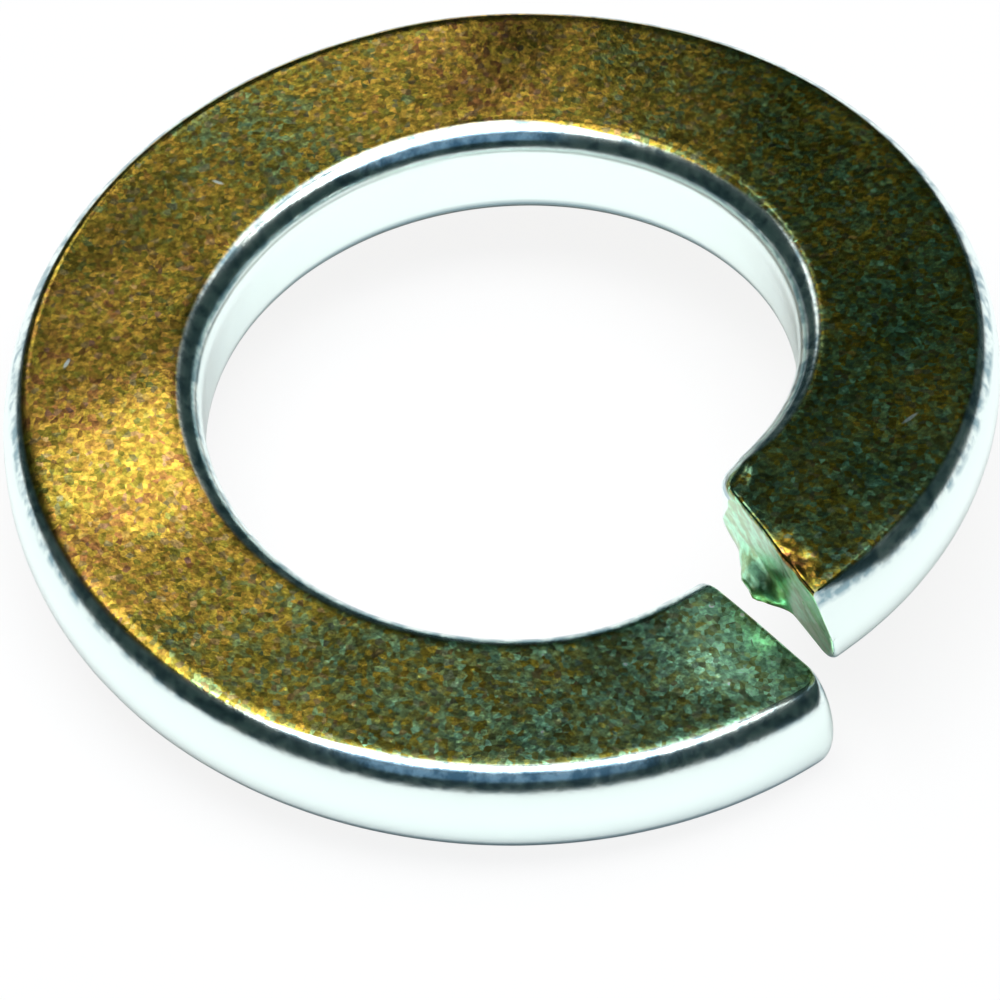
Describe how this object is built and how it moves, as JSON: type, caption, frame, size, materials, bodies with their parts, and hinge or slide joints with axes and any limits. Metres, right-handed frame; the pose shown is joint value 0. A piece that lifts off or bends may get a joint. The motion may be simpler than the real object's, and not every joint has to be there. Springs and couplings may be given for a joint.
{
  "type": "spring lock washer",
  "caption": "Split ring of flat spring steel, set open like a coil, that goes under a nut or a screw's head and keeps the joint tight.",
  "frame": {"origin": "on the bore's axis, level with the lowest edge, which is the low end's lower edge", "axes": "+Z along the bore's axis towards the raised end, +X through the cut"},
  "size_m": [0.0206, 0.0204, 0.0053],
  "materials": {
    "plated_spring_steel": "zinc plated and yellow chromated, mottled olive and gold on the flats, pale on the walls"
  },
  "bodies": {
    "root": {"lock_washer": "plated_spring_steel"}
  },
  "joints": []
}
